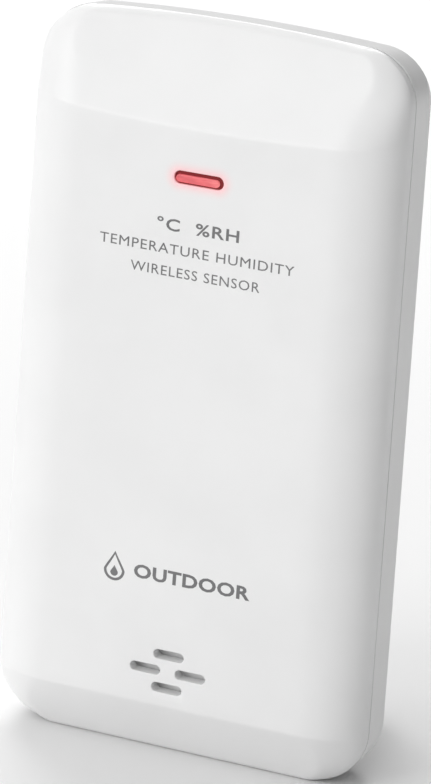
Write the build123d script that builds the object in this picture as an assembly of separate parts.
from build123d import *
import math
import os

# Outdoor hygro-thermo sensor: a white two-shell case that stands on its base or hangs on a wall screw.
# +X is to the right, +Z is up, and depths are measured along +Y from the front face, all in millimetres.
# Each node is written with its origin moved to the middle of the base.

# Driving dimensions of the case
WIDTH = 60.0
HEIGHT = 113.8
DEPTH = 39.5
WALL = 2.0
RIM_DEPTH = 15.2
RIM_TOP_DROP = 0.9
RIM_SPLIT = 60.0
SEAM = 7.9
SIDE_TAPER = 1.0
TOP_CROWN = 1.4
TOP_CORNER = 7.9
BASE_CORNER = 8.9
RIM_EDGE_ROUND = 1.2

# Driving dimensions of the front face
TOP_CREASE = 98.7
BASE_CREASE = 9.3
TOP_BEVEL_DEPTH = 7.3
BASE_BEVEL_DEPTH = 6.5
SIDE_ROUND_ACROSS = 9.4
SIDE_ROUND_DEEP = 6.1

# Driving dimensions of the battery housing on the back
HOUSING_BASE_HALF = 21.0
HOUSING_BACK_HALF = 19.2
HOUSING_BASE_TOP = 101.0
HOUSING_BACK_TOP = 98.0
HOUSING_TOP_CORNER = 7.0
HOUSING_LOW_CORNER = 2.0
HOUSING_EDGE_ROUND = 1.8

# Window, vents and keyhole
WINDOW_X = -0.4
WINDOW_Z = 91.4
WINDOW_LENGTH = 7.8
WINDOW_HEIGHT = 2.0
VENT_Z = 14.9
VENT_LENGTH = 4.9
VENT_HEIGHT = 1.5
VENT_STEP_X = 3.67
VENT_STEP_Z = 2.65
KEYHOLE_Z = 86.2
KEYHOLE_ENTRY_RADIUS = 4.2
KEYHOLE_SLOT_HALF = 2.2
KEYHOLE_RISE = 7.0

# AA cells and the compartment that holds them
CELL_RADIUS = 7.1
CELL_LENGTH = 50.5
CELL_NUB_LENGTH = 1.3
CELL_NUB_RADIUS = 2.7
CELL_X = 7.5
CELL_Z = 16.5
CELL_DEPTH = 29.6
BAY_HALF = 15.4
BAY_FLOOR = 22.0
BAY_LOW = 12.0
BAY_TOP = 70.0
CONTROL_TOP = 78.0
CONTROL_FLOOR = 23.4
FLOOR_THICKNESS = 2.0

# Battery door
DOOR_LOW = 10.0
DOOR_TOP = 80.0
DOOR_THICKNESS = 2.05
DOOR_GAP = 0.15
DOOR_TRAVEL = 8.0
HOOK_REACH = 0.9
HOOK_LENGTH = 5.0
HOOK_THICKNESS = 1.2
HOOK_DEPTH = 34.6
HOOK_ZS = (24.0, 64.0)

# Circuit board and what is on it
BOARD_FRONT = 15.5
BOARD_THICKNESS = 1.6
BOARD_HALF = 17.0
BOARD_LOW = 27.0
BOARD_TOP = 94.0
CHANNEL_X = -7.0
RESET_X = 8.0
CONTROL_Z = 74.0

# Screws
CASE_SCREW_X = 24.2
CASE_SCREW_ZS = (11.5, 99.0)
CASE_SCREW_SEAT = 12.2
CASE_SCREW_LENGTH = 7.6
SCREW_RADIUS = 1.15
SCREW_HEAD_RADIUS = 2.2
SCREW_HEAD_HEIGHT = 1.5
BORE_PLAY = 0.05
BOARD_SCREW_PLACES = ((-13.5, 31.0), (13.5, 31.0), (0.0, 84.0))

# Door gasket
GASKET_HALF = 18.3
GASKET_WIDTH = 0.9
GASKET_LOW = 10.7
GASKET_TOP = 79.4

# Controls behind the door
KNOB_HALF = 0.9
KNOB_TRAVEL = 2.0
BUTTON_RADIUS = 1.7
BUTTON_TRAVEL = 0.4

# Battery contacts, bent from sheet
SHEET = 0.4
TAB_HALF = 1.6
TAB_Z = 68.6

# Sensor board behind the vents
SENSOR_BOARD_FRONT = 8.2
SENSOR_BOARD_THICKNESS = 1.0
SENSOR_BOARD_HALF = 8.0
SENSOR_BOARD_LOW = 8.0
SENSOR_BOARD_TOP = 27.0
SENSOR_SCREW_X = 5.6
SENSOR_SCREW_Z = 24.6
SENSOR_POST_RADIUS = 1.9
SENSOR_SCREW_RADIUS = 0.8

# Values worked out from the dimensions above
HALF = WIDTH / 2
BOARD_BACK = BOARD_FRONT + BOARD_THICKNESS
STEP_DEPTH = DEPTH - DOOR_THICKNESS - DOOR_GAP
CELL_TOP = CELL_Z + CELL_LENGTH
FAR = 60.0
LED_FRONT = BOARD_FRONT - 1.9
GASKET_FRONT = STEP_DEPTH - 0.9
KNOB_SLOT_HALF = KNOB_HALF + KNOB_TRAVEL + 0.3
SWITCH_TOP = CONTROL_FLOOR - FLOOR_THICKNESS - 0.5
RESET_BORE_FRONT = BOARD_BACK + 1.2


def block(x0, x1, d0, d1, z0, z1):
    """A box between two sides, two depths and two heights."""
    return Pos((x0 + x1) / 2, (d0 + d1) / 2, (z0 + z1) / 2) * Box(x1 - x0, d1 - d0, z1 - z0)


def rod(x, z, radius, d0, d1):
    """A round bar that runs from front to back."""
    return Pos(x, (d0 + d1) / 2, z) * Rot(90, 0, 0) * Cylinder(radius, d1 - d0)


def post(x, depth, radius, z0, z1):
    """A round bar that stands upright."""
    return Pos(x, depth, (z0 + z1) / 2) * Cylinder(radius, z1 - z0)


def rounded_bar(x, z, length, height, d0, d1):
    """A bar with half-round ends that runs from front to back."""
    profile = Plane.XZ * Pos(x, z) * SlotOverall(length, height)
    return Pos(0, d0, 0) * extrude(profile, d1 - d0, dir=(0, 1, 0))


def frame_bar(half, low, top, width, d0, d1):
    """A flat rectangular ring round a window."""
    outer = block(-half, half, d0, d1, low, top)
    return outer - block(width - half, half - width, d0 - 1, d1 + 1, low + width, top - width)


def case_face(inset, drop=0.0):
    """The case's front view: tapered sides, a crowned top and round corners. drop lowers its top edge."""
    base_half = HALF - inset
    top = HEIGHT - inset - drop
    shoulder = top - TOP_CROWN
    side_share = (shoulder - inset) / (shoulder + drop - inset)
    top_half = base_half - SIDE_TAPER * side_share
    face = make_face([
        Line((-base_half, 0, inset), (base_half, 0, inset)),
        Line((base_half, 0, inset), (top_half, 0, shoulder)),
        ThreePointArc((top_half, 0, shoulder), (0, 0, top), (-top_half, 0, shoulder)),
        Line((-top_half, 0, shoulder), (-base_half, 0, inset)),
    ])
    face = fillet(face.vertices().sort_by(Axis.Z)[:2], BASE_CORNER - inset)
    return fillet(face.vertices().sort_by(Axis.Z)[-2:], TOP_CORNER - inset)


def case_prism(inset, d0, d1):
    """The case's front view, moved in by inset, as a solid between two depths."""
    return Pos(0, d0, 0) * extrude(case_face(inset), d1 - d0, dir=(0, 1, 0))


def front_depth(z):
    """Depth of the flat front surface at a height: 0 between the creases, deeper on both bevels."""
    if z > TOP_CREASE:
        return TOP_BEVEL_DEPTH * (z - TOP_CREASE) / (HEIGHT - TOP_CREASE)
    if z < BASE_CREASE:
        return BASE_BEVEL_DEPTH * (BASE_CREASE - z) / BASE_CREASE
    return 0.0


def front_section(z, inset):
    """The level cut of the front block at a height: a flat front between two elliptical side rounds."""
    front = front_depth(z) + inset
    side = front + SIDE_ROUND_DEEP * (1 - front_depth(z) / SEAM)
    half = HALF - SIDE_TAPER * z / HEIGHT + 0.02 - inset
    across = SIDE_ROUND_ACROSS - inset / 2
    back = DEPTH
    wire = make_face([
        Line((across - half, front), (half - across, front)),
        EllipticalCenterArc((half - across, side), across, side - front, 270, arc_size=90),
        Line((half, side), (half, back)),
        Line((half, back), (-half, back)),
        Line((-half, back), (-half, side)),
        EllipticalCenterArc((across - half, side), across, side - front, 180, arc_size=90),
    ])
    return Pos(0, 0, z) * wire


def front_block(inset, back):
    """The front shell's outer form, or its hollow when inset is the wall."""
    heights = (-0.5, BASE_CREASE, TOP_CREASE, HEIGHT + 0.4)
    tall = loft([front_section(z, inset) for z in heights], ruled=True)
    return tall & case_prism(inset, -1, back)


def vent_places():
    """Centres of the four vent slots, set as a diamond."""
    return (
        (0, VENT_Z + VENT_STEP_Z),
        (0, VENT_Z - VENT_STEP_Z),
        (-VENT_STEP_X, VENT_Z),
        (VENT_STEP_X, VENT_Z),
    )


def case_screw_places():
    """Centres of the four screws that hold the two shells together."""
    return [(side * CASE_SCREW_X, z) for side in (-1, 1) for z in CASE_SCREW_ZS]


def front_shell():
    """Front shell with its window, vents, screw bosses, sensor posts and the tongue along the seam."""
    tongue_inset, tongue_reach = 1.1, 1.2
    boss_radius, boss_end = 2.7, SEAM + 1.6
    outer = front_block(0, SEAM)
    shell = outer - front_block(WALL, SEAM + 1)
    tongue = case_prism(tongue_inset, SEAM - 0.6, SEAM + tongue_reach)
    shell += tongue - case_prism(WALL, SEAM - 1, SEAM + 2)
    solid_front = front_block(0.5, boss_end + 1)
    for x, z in case_screw_places():
        shell += rod(x, z, boss_radius, 0, boss_end) & solid_front
    for side in (-1, 1):
        shell += rod(side * SENSOR_SCREW_X, SENSOR_SCREW_Z, SENSOR_POST_RADIUS, 1, SENSOR_BOARD_FRONT)
    for x, z in case_screw_places():
        shell -= rod(x, z, SCREW_RADIUS + BORE_PLAY, CASE_SCREW_SEAT - CASE_SCREW_LENGTH - 0.3, FAR)
    for side in (-1, 1):
        shell -= rod(side * SENSOR_SCREW_X, SENSOR_SCREW_Z, SENSOR_SCREW_RADIUS + BORE_PLAY, 4.4, FAR)
    shell -= rounded_bar(WINDOW_X, WINDOW_Z, WINDOW_LENGTH, WINDOW_HEIGHT, -1, WALL + 1)
    for x, z in vent_places():
        shell -= rounded_bar(x, z, VENT_LENGTH, VENT_HEIGHT, -1, WALL + 1)
    return shell


def housing_face(half, top, depth):
    """Front view of the battery housing at one depth, standing on the base."""
    face = make_face(Polyline((-half, 0, 0), (half, 0, 0), (half, 0, top), (-half, 0, top), close=True))
    face = fillet(face.vertices().sort_by(Axis.Z)[:2], HOUSING_LOW_CORNER)
    face = fillet(face.vertices().sort_by(Axis.Z)[-2:], HOUSING_TOP_CORNER)
    return Pos(0, depth, 0) * face


def housing_block():
    """The battery housing's outer form: drafted sides, rounded back edges, flush with the base."""
    body = loft([
        housing_face(HOUSING_BASE_HALF, HOUSING_BASE_TOP, RIM_DEPTH - 1),
        housing_face(HOUSING_BACK_HALF, HOUSING_BACK_TOP, DEPTH),
    ], ruled=True)
    return fillet(body.edges().group_by(Axis.Y)[-1], HOUSING_EDGE_ROUND)


def hook_way():
    """Room for the door's hooks in the bay's side walls: a groove, and a notch where they lift out."""
    play = 0.25
    room = []
    for side in (-1, 1):
        for z in HOOK_ZS:
            wall, tip = side * (BAY_HALF - 0.5), side * (BAY_HALF + HOOK_REACH + play)
            x0, x1 = min(wall, tip), max(wall, tip)
            low = z - DOOR_TRAVEL - play
            lift_top = z - DOOR_TRAVEL + HOOK_LENGTH + play
            room.append(block(x0, x1, HOOK_DEPTH - play, HOOK_DEPTH + HOOK_THICKNESS + play,
                              low, z + HOOK_LENGTH + play))
            room.append(block(x0, x1, HOOK_DEPTH - play, FAR, low, lift_top))
    return room


def keyhole_cut():
    """Keyhole through the back wall for a wall screw: wide entry below, narrow slot above."""
    wall_front, wall_back = DEPTH - WALL - 1, DEPTH + 1
    entry = rod(0, KEYHOLE_Z, KEYHOLE_ENTRY_RADIUS, wall_front, wall_back)
    slot_end = rod(0, KEYHOLE_Z + KEYHOLE_RISE, KEYHOLE_SLOT_HALF, wall_front, wall_back)
    slot = block(-KEYHOLE_SLOT_HALF, KEYHOLE_SLOT_HALF, wall_front, wall_back,
                 KEYHOLE_Z, KEYHOLE_Z + KEYHOLE_RISE)
    return entry + slot_end + slot


def back_shell():
    """Back shell: rim, battery housing, cell bay, control shelf, board bosses and the wall keyhole."""
    rim_back = Pos(0, RIM_DEPTH, 0) * case_face(0, RIM_TOP_DROP)
    rim_upper = loft([Pos(0, SEAM, 0) * case_face(0), rim_back], ruled=True)
    rim_upper -= block(-FAR, FAR, SEAM - 1, RIM_DEPTH + 1, -1, RIM_SPLIT)
    rim = case_prism(0, SEAM, RIM_DEPTH) - block(-FAR, FAR, SEAM - 1, RIM_DEPTH + 1, RIM_SPLIT, HEIGHT + 1)
    rim += rim_upper
    rim = fillet(rim.edges().group_by(Axis.Y)[-1], RIM_EDGE_ROUND)
    shell = rim + housing_block()
    room_half, pocket_half = 17.0, 7.5
    floor_front = BAY_FLOOR - FLOOR_THICKNESS
    control_front = CONTROL_FLOOR - FLOOR_THICKNESS
    pocket_front, pocket_low, pocket_top = 31.5, 81.6, 95.8
    shadow_gap, shadow_depth = 0.3, 0.7
    # Hollows in front of the cell bay, for the board and its wiring
    shell -= case_prism(WALL, SEAM - 1, RIM_DEPTH - WALL)
    shell -= block(-room_half, room_half, RIM_DEPTH - WALL - 1, floor_front, WALL, HOUSING_BACK_TOP - WALL)
    shell -= block(-room_half, room_half, floor_front - 1, control_front, BAY_TOP + 1, CONTROL_TOP + 1)
    shell -= block(-room_half, room_half, floor_front - 1, pocket_front - WALL, CONTROL_TOP + WALL + 0.2,
                   HOUSING_BACK_TOP - WALL)
    shell -= block(-room_half, room_half, floor_front - 1, STEP_DEPTH - WALL, WALL, BAY_LOW - WALL)
    # Cell bay and control shelf, open to the back, and the step that the door lies on
    shell -= block(-BAY_HALF, BAY_HALF, BAY_FLOOR, FAR, BAY_LOW, BAY_TOP)
    shell -= block(-BAY_HALF, BAY_HALF, CONTROL_FLOOR, FAR, BAY_TOP - 1, CONTROL_TOP)
    shell -= block(-HALF, HALF, STEP_DEPTH, FAR, -1, DOOR_TOP + DOOR_GAP)
    for room in hook_way():
        shell -= room
    shell -= frame_bar(GASKET_HALF + 0.05, GASKET_LOW - 0.05, GASKET_TOP + 0.05, GASKET_WIDTH + 0.1,
                       GASKET_FRONT, STEP_DEPTH + 1)
    # Wall fixing
    shell -= block(-pocket_half, pocket_half, pocket_front, DEPTH - WALL, pocket_low, pocket_top)
    shell -= keyhole_cut()
    # Seam: rebate for the tongue and a fine shadow gap all round
    shell -= case_prism(0.95, SEAM - 1, SEAM + 1.4) - case_prism(WALL + 0.6, SEAM - 2, SEAM + 2)
    shell -= case_prism(-1, SEAM - 1, SEAM + shadow_gap) - case_prism(shadow_depth, SEAM - 2, SEAM + 2)
    # Screw bosses
    for x, z in case_screw_places():
        shell += rod(x, z, 3.0, SEAM + 1.7, RIM_DEPTH - WALL)
        shell -= rod(x, z, SCREW_RADIUS + 0.25, SEAM, FAR)
        shell -= rod(x, z, SCREW_HEAD_RADIUS + 0.25, CASE_SCREW_SEAT, FAR)
    for x, z in BOARD_SCREW_PLACES:
        end = floor_front if z < CONTROL_TOP else pocket_front - WALL
        shell += rod(x, z, 2.6, BOARD_BACK, end + 0.5)
        shell -= rod(x, z, SCREW_RADIUS + BORE_PLAY, BOARD_BACK - 1, floor_front + 1)
    # Ways through the floor for the channel knob, the reset button and the contact tabs
    shell -= block(CHANNEL_X - KNOB_SLOT_HALF, CHANNEL_X + KNOB_SLOT_HALF, control_front - 1,
                   CONTROL_FLOOR + 1, CONTROL_Z - KNOB_HALF - 0.25, CONTROL_Z + KNOB_HALF + 0.25)
    shell -= rod(RESET_X, CONTROL_Z, BUTTON_RADIUS + 0.3, control_front - 1, CONTROL_FLOOR + 1)
    for side in (-1, 1):
        shell -= block(side * CELL_X - TAB_HALF - 0.2, side * CELL_X + TAB_HALF + 0.2, floor_front - 1,
                       BAY_FLOOR + 1, TAB_Z - 0.3, TAB_Z + SHEET + 0.3)
    return shell


def battery_door():
    """Sliding door: a slice of the housing's back with four hooks and thumb grooves near its top."""
    band = block(-HALF, HALF, STEP_DEPTH + DOOR_GAP, FAR, DOOR_LOW, DOOR_TOP)
    door = housing_block() & band
    groove_count, groove_pitch, groove_radius, groove_length = 5, 2.2, 0.55, 16.0
    for n in range(groove_count):
        bar = Rot(0, 90, 0) * Cylinder(groove_radius, groove_length)
        door -= Pos(0, DEPTH, DOOR_TOP - 6 - n * groove_pitch) * bar
    for side in (-1, 1):
        for z in HOOK_ZS:
            inner = side * (BAY_HALF - 1.5)
            leg = side * (BAY_HALF - 0.3)
            tip = side * (BAY_HALF + HOOK_REACH)
            door += block(min(inner, leg), max(inner, leg), HOOK_DEPTH, STEP_DEPTH + DOOR_GAP + 0.5,
                          z, z + HOOK_LENGTH)
            door += block(min(inner, tip), max(inner, tip), HOOK_DEPTH, HOOK_DEPTH + HOOK_THICKNESS,
                          z, z + HOOK_LENGTH)
    return door


def door_gasket():
    """Flat silicone ring that seals the door, proud of its groove."""
    return frame_bar(GASKET_HALF, GASKET_LOW, GASKET_TOP, GASKET_WIDTH, GASKET_FRONT, STEP_DEPTH + 0.1)


def light_guide():
    """Red light guide: a bar in the window, a flange behind the wall and a stem back to the LED."""
    sunk, flange_back, led_gap = 0.35, WALL + 1.2, 0.3
    bar = rounded_bar(WINDOW_X, WINDOW_Z, 6.9, 1.1, sunk, WALL + 0.5)
    flange = rounded_bar(WINDOW_X, WINDOW_Z, 11.0, 5.0, WALL, flange_back)
    stem = rounded_bar(WINDOW_X, WINDOW_Z, 6.4, 2.6, flange_back - 0.2, LED_FRONT - led_gap)
    return bar + flange + stem


def status_led():
    """Surface-mounted LED on the front of the board."""
    half_x, half_z = 1.75, 1.4
    base = block(WINDOW_X - half_x, WINDOW_X + half_x, LED_FRONT + 0.7, BOARD_FRONT,
                 WINDOW_Z - half_z, WINDOW_Z + half_z)
    return base + rod(WINDOW_X, WINDOW_Z, 1.2, LED_FRONT, BOARD_FRONT - 0.5)


def circuit_board():
    """Main board with its screw holes."""
    board = block(-BOARD_HALF + 0.5, BOARD_HALF - 0.5, BOARD_FRONT, BOARD_BACK, BOARD_LOW, BOARD_TOP)
    board = fillet(board.edges().filter_by(Axis.Y), 1.5)
    for x, z in BOARD_SCREW_PLACES:
        board -= rod(x, z, SCREW_RADIUS + 0.2, BOARD_FRONT - 1, BOARD_BACK + 1)
    return board


def microcontroller():
    """Controller chip in the middle of the board, with a row of gull-wing pins down each side."""
    x, z, half, tall, thick, lift = -4.0, 56.0, 3.75, 13.0, 2.1, 0.1
    pins, pitch, pin_reach, pin_width, pin_thick = 10, 1.27, 1.1, 0.4, 0.25
    chip = block(x - half, x + half, BOARD_FRONT - thick, BOARD_FRONT - lift, z - tall / 2, z + tall / 2)
    for side in (-1, 1):
        root, tip = x + side * (half - 0.2), x + side * (half + pin_reach)
        for n in range(pins):
            low = z + (n - (pins - 1) / 2) * pitch - pin_width / 2
            chip += block(min(root, tip), max(root, tip), BOARD_FRONT - pin_thick, BOARD_FRONT,
                          low, low + pin_width)
    return chip


def radio_board():
    """Small transmitter board on the front of the main board."""
    return block(3.0, 15.0, BOARD_FRONT - 0.8, BOARD_FRONT, 66.0, 80.0)


def radio_shield():
    """Pressed screening can over the transmitter, hollow underneath."""
    can = block(4.0, 12.0, BOARD_FRONT - 3.4, BOARD_FRONT - 0.8, 68.0, 79.0)
    can = fillet(can.edges().group_by(Axis.Y)[0], 0.4)
    return can - block(4.3, 11.7, BOARD_FRONT - 3.1, BOARD_FRONT, 68.3, 78.7)


def radio_crystal():
    """Crystal in its flat metal can beside the controller."""
    can = Plane.XZ * Pos(7.5, 58.0) * SlotOverall(10.4, 4.2)
    return Pos(0, BOARD_FRONT - 3.6, 0) * extrude(can, 3.6, dir=(0, 1, 0))


def storage_capacitor():
    """Upright round capacitor, lying proud of the board on its base."""
    x, z, radius, base_half = -10.9, 73.0, 3.1, 3.3
    base = block(x - base_half, x + base_half, BOARD_FRONT - 0.6, BOARD_FRONT, z - base_half, z + base_half)
    can = rod(x, z, radius, BOARD_FRONT - 6.2, BOARD_FRONT - 0.5)
    return base + fillet(can.edges().group_by(Axis.Y)[0], 0.4)


def chip_parts():
    """Chip resistors and capacitors, each a separate small block on the board."""
    half_length, half_width, thick = 1.0, 0.62, 0.6
    column = [(-13.0, 51.5 + 3.5 * n) for n in range(4)]
    rows = [(4.5 + 4.0 * n, 50.0) for n in range(3)] + [(4.5 + 4.0 * n, 46.0) for n in range(2)]
    singles = [(-4.0, 84.5), (-8.0, 84.5), (-4.5, 40.0)]
    return [block(x - half_length, x + half_length, BOARD_FRONT - thick, BOARD_FRONT,
                  z - half_width, z + half_width) for x, z in column + rows + singles]


def corner_radii(points):
    """The largest easy arc at each inner point of a route: 0.45 of its shorter run over tan(turn / 2)."""
    spots = [Vector(*point) for point in points]
    radii = []
    for before, at, after in zip(spots, spots[1:], spots[2:]):
        shorter = min((at - before).length, (after - at).length)
        half_turn = math.radians((at - before).get_angle(after - at)) / 2
        radii.append(0.45 * shorter / math.tan(half_turn))
    return radii


def swept_route(label, points, section):
    """A section swept along straight runs joined by tangent arcs. Prints the route's facts."""
    radii = corner_radii(points)
    path = FilletPolyline(*points, radius=radii)
    swept = sweep(Plane(origin=path @ 0, z_dir=path % 0, x_dir=(1, 0, 0)) * section, path=path)
    share = swept.volume / (section.area * path.length)
    print(label, "length", round(path.length, 1), "radii", [round(r, 1) for r in radii],
          "volume over section times length", round(share, 4))
    return swept


def aerial():
    """Quarter-wave transmitter aerial: one copper wire up the side of the case and across its top."""
    depth = 9.8
    points = [(13.4, BOARD_FRONT - 0.8, 77.5), (13.4, depth, 77.5), (13.9, depth, 86.0), (15.4, depth, 97.0),
              (10.0, depth, 105.0), (-3.0, depth, 106.6), (-14.0, depth, 101.5), (-17.4, depth, 90.0),
              (-16.8, depth, 76.4)]
    return swept_route("aerial", points, Circle(0.55))


def battery_lead(side):
    """Insulated lead from a contact tab to the back of the board, clear of the floor behind it."""
    depth, x = BOARD_BACK + 1.6, side * CELL_X
    pad_x = x + side * 3.2
    points = [(x, depth, TAB_Z), (x, depth, TAB_Z - 7.0), (pad_x, depth, TAB_Z - 14.0),
              (pad_x, depth, TAB_Z - 20.0), (pad_x, BOARD_BACK, TAB_Z - 20.0)]
    label = "positive lead" if side < 0 else "negative lead"
    return swept_route(label, points, Circle(0.6))


def bent_sheet(points, y0, y1):
    """A strip of contact sheet: a bent line of one thickness, as wide as the gap between two depths."""
    strip = None
    for (x0, z0), (x1, z1) in zip(points, points[1:]):
        run = Vector(x1 - x0, 0, z1 - z0)
        middle = Location(((x0 + x1) / 2, (y0 + y1) / 2, (z0 + z1) / 2))
        angle = -Vector(1, 0, 0).get_signed_angle(run, Vector(0, -1, 0))
        bar = middle * Rot(0, angle, 0) * Box(run.length + SHEET, y1 - y0, SHEET)
        strip = bar if strip is None else strip + bar
    return strip


def contact_spring(x, z, rise):
    """Leaf that presses on a cell's flat end, bent from the contact's own sheet."""
    width = 2.6
    points = [(x - 5.2, z), (x - 2.0, z + rise), (x + 2.0, z + rise), (x + 5.2, z)]
    return bent_sheet(points, CELL_DEPTH - width, CELL_DEPTH + width)


def bridge_contact():
    """Contact that joins the two cells at the bottom: a leaf for one and a raised pad for the other."""
    z = BAY_LOW + 0.4
    plate = block(-13.5, 13.5, CELL_DEPTH - 5, CELL_DEPTH + 5, z - 0.2, z + 0.2)
    rise = CELL_Z - z - SHEET / 2 - 0.12
    plate += contact_spring(-CELL_X, z, rise)
    return plate + post(CELL_X, CELL_DEPTH, 2.4, z, CELL_Z - 0.05)


def top_contact(side):
    """Contact plate at the top of one cell, with the tab that goes forward through the bay's floor."""
    x, z = side * CELL_X, TAB_Z + SHEET / 2
    low, high = z - SHEET / 2, z + SHEET / 2
    plate = block(x - 5.5, x + 5.5, CELL_DEPTH - 5, CELL_DEPTH + 5, low, high)
    return plate + block(x - TAB_HALF, x + TAB_HALF, BOARD_BACK + 0.9, CELL_DEPTH, low, high)


def positive_contact():
    """Top contact with a pressed pad that meets the cell's nub."""
    return top_contact(-1) + post(-CELL_X, CELL_DEPTH, 2.4, CELL_TOP + 0.05, TAB_Z + 0.1)


def negative_contact():
    """Top contact with a leaf that presses on the cell's flat end."""
    z = TAB_Z + SHEET / 2
    drop = z - CELL_TOP - SHEET / 2 - 0.12
    return top_contact(1) + contact_spring(CELL_X, z, -drop)


def cell(x, nub_up):
    """AA cell: a steel can with rolled edges and a contact nub at one end."""
    can_length = CELL_LENGTH - CELL_NUB_LENGTH
    can_low = CELL_Z if nub_up else CELL_Z + CELL_NUB_LENGTH
    can = post(x, CELL_DEPTH, CELL_RADIUS, can_low, can_low + can_length)
    can = fillet(can.edges().filter_by(GeomType.CIRCLE), 0.6)
    nub_low = can_low + can_length - 0.2 if nub_up else CELL_Z
    return can + post(x, CELL_DEPTH, CELL_NUB_RADIUS, nub_low, nub_low + CELL_NUB_LENGTH + 0.2)


def sensor_board():
    """Small board that holds the humidity and temperature sensor behind the vents."""
    board = block(-SENSOR_BOARD_HALF, SENSOR_BOARD_HALF, SENSOR_BOARD_FRONT,
                  SENSOR_BOARD_FRONT + SENSOR_BOARD_THICKNESS, SENSOR_BOARD_LOW, SENSOR_BOARD_TOP)
    board = fillet(board.edges().filter_by(Axis.Y), 1.0)
    for side in (-1, 1):
        board -= rod(side * SENSOR_SCREW_X, SENSOR_SCREW_Z, SENSOR_SCREW_RADIUS + 0.15, 0, FAR)
    return board


def humidity_sensor():
    """Humidity and temperature sensor: a small open-topped chip facing the vents."""
    chip = block(-1.5, 1.5, SENSOR_BOARD_FRONT - 1.1, SENSOR_BOARD_FRONT, VENT_Z - 1.5, VENT_Z + 1.5)
    return chip - rod(0, VENT_Z, 0.6, SENSOR_BOARD_FRONT - 2, SENSOR_BOARD_FRONT - 0.7)


def vent_baffle():
    """Splash baffle close behind the vents: a plate with side walls, open below for the air."""
    front, thick, half, low, top = WALL + 0.6, 1.0, 8.6, 10.2, 21.0
    baffle = block(-half, half, front, front + thick, low, top)
    baffle += block(-half, half, WALL + 0.02, front + 0.5, top - thick, top)
    for side in (-1, 1):
        edge, inner = side * half, side * (half - thick)
        baffle += block(min(edge, inner), max(edge, inner), WALL + 0.02, front + 0.5, low, top)
    return baffle


def sensor_ribbon():
    """Four-way flat ribbon from the sensor board up to the main board."""
    start = SENSOR_BOARD_FRONT + SENSOR_BOARD_THICKNESS + 0.5
    end = BOARD_FRONT - 0.5
    points = [(0, start, 17.0), (0, start, 25.0), (0, end, 33.5), (0, end, 41.5)]
    return swept_route("sensor ribbon", points, Rectangle(5.0, 0.9))


def channel_switch():
    """Three-way slide switch body on the back of the board, with a slot for the knob's foot."""
    body = block(CHANNEL_X - 5.5, CHANNEL_X + 5.5, BOARD_BACK, SWITCH_TOP, CONTROL_Z - 2.0, CONTROL_Z + 2.0)
    return body - block(CHANNEL_X - KNOB_SLOT_HALF, CHANNEL_X + KNOB_SLOT_HALF, SWITCH_TOP - 1.6,
                        SWITCH_TOP + 1, CONTROL_Z - KNOB_HALF - 0.2, CONTROL_Z + KNOB_HALF + 0.2)


def channel_knob():
    """Sliding knob with ridges, reached through the slot in the control shelf."""
    top, ridge_pitch, groove_half, groove_deep = CONTROL_FLOOR + 2.4, 0.6, 0.12, 0.25
    stem = block(CHANNEL_X - KNOB_HALF, CHANNEL_X + KNOB_HALF, SWITCH_TOP - 1.4, top,
                 CONTROL_Z - KNOB_HALF, CONTROL_Z + KNOB_HALF)
    for n in (-1, 0, 1):
        middle = CHANNEL_X + n * ridge_pitch
        stem -= block(middle - groove_half, middle + groove_half, top - groove_deep, FAR, 0, HEIGHT)
    return stem


def reset_switch():
    """Push switch body on the back of the board, with a bore for the button's foot."""
    body = block(RESET_X - 3, RESET_X + 3, BOARD_BACK, BOARD_BACK + 3.1, CONTROL_Z - 3, CONTROL_Z + 3)
    return body - rod(RESET_X, CONTROL_Z, BUTTON_RADIUS - 0.1, RESET_BORE_FRONT, FAR)


def reset_button():
    """Reset button: a foot in the switch, and a cap that passes through the control shelf."""
    foot_front = RESET_BORE_FRONT + BUTTON_TRAVEL + 0.2
    foot = rod(RESET_X, CONTROL_Z, BUTTON_RADIUS - 0.3, foot_front, BOARD_BACK + 4)
    cap = rod(RESET_X, CONTROL_Z, BUTTON_RADIUS, BOARD_BACK + 3.6, CONTROL_FLOOR + 1.2)
    return foot + fillet(cap.edges().group_by(Axis.Y)[-1], 0.4)


def screw(x, z, seat, length, radius, head_radius, head_height, towards):
    """Pan-head screw with a cross recess. towards is -1 when its point faces the front."""
    back = -towards
    ends = sorted((seat, seat + back * head_height))
    body = rod(x, z, head_radius, ends[0], ends[1])
    shank = sorted((seat + back * 0.2, seat + towards * length))
    body += rod(x, z, radius, shank[0], shank[1])
    slot = sorted((seat + back * head_height * 0.45, seat + back * (head_height + 1)))
    arm, half = head_radius * 0.62, 0.28
    body -= block(x - arm, x + arm, slot[0], slot[1], z - half, z + half)
    return body - block(x - half, x + half, slot[0], slot[1], z - arm, z + arm)


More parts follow.
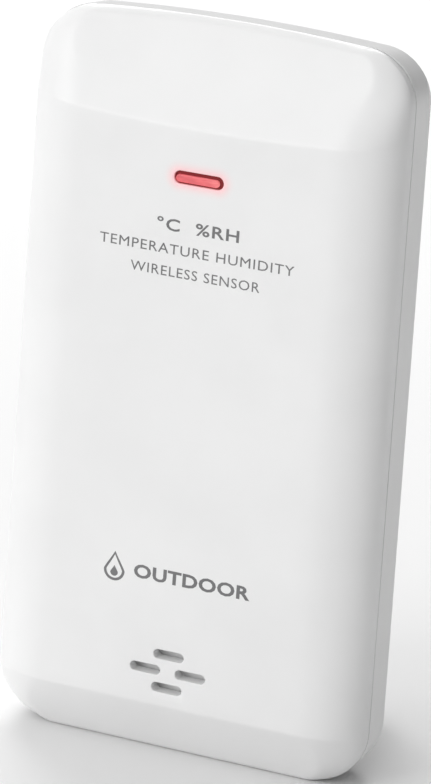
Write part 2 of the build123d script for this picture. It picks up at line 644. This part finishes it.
def case_screws():
    """Four screws from the back, through the rim into the front shell's bosses."""
    return [screw(x, z, CASE_SCREW_SEAT, CASE_SCREW_LENGTH, SCREW_RADIUS, SCREW_HEAD_RADIUS,
                  SCREW_HEAD_HEIGHT, -1) for x, z in case_screw_places()]


def board_screws():
    """Three screws that hold the main board to the back shell."""
    return [screw(x, z, BOARD_FRONT, BOARD_THICKNESS + 3.2, SCREW_RADIUS, SCREW_HEAD_RADIUS,
                  SCREW_HEAD_HEIGHT, 1) for x, z in BOARD_SCREW_PLACES]


def sensor_screws():
    """Two small screws that hold the sensor board to its posts."""
    seat = SENSOR_BOARD_FRONT + SENSOR_BOARD_THICKNESS
    return [screw(side * SENSOR_SCREW_X, SENSOR_SCREW_Z, seat, 4.2, SENSOR_SCREW_RADIUS, 1.5, 1.0, -1)
            for side in (-1, 1)]


NODES = {
    "front_shell": front_shell,
    "back_shell": back_shell,
    "battery_door": battery_door,
    "door_gasket": door_gasket,
    "light_guide": light_guide,
    "status_led": status_led,
    "circuit_board": circuit_board,
    "microcontroller": microcontroller,
    "radio_board": radio_board,
    "radio_shield": radio_shield,
    "radio_crystal": radio_crystal,
    "storage_capacitor": storage_capacitor,
    "chip_parts": chip_parts,
    "aerial": aerial,
    "sensor_board": sensor_board,
    "humidity_sensor": humidity_sensor,
    "sensor_ribbon": sensor_ribbon,
    "vent_baffle": vent_baffle,
    "channel_switch": channel_switch,
    "channel_knob": channel_knob,
    "reset_switch": reset_switch,
    "reset_button": reset_button,
    "left_cell": lambda: cell(-CELL_X, True),
    "right_cell": lambda: cell(CELL_X, False),
    "bridge_contact": bridge_contact,
    "positive_contact": positive_contact,
    "negative_contact": negative_contact,
    "positive_lead": lambda: battery_lead(-1),
    "negative_lead": lambda: battery_lead(1),
    "case_screws": case_screws,
    "board_screws": board_screws,
    "sensor_screws": sensor_screws,
}

os.makedirs("parts", exist_ok=True)
for name, make in NODES.items():
    made = make()
    pieces = made if isinstance(made, list) else [made]
    placed = [Pos(0, -DEPTH / 2, 0) * solid for piece in pieces for solid in piece.solids()]
    node = Compound(children=placed) if len(placed) > 1 else placed[0]
    export_step(node, f"parts/{name}.step")
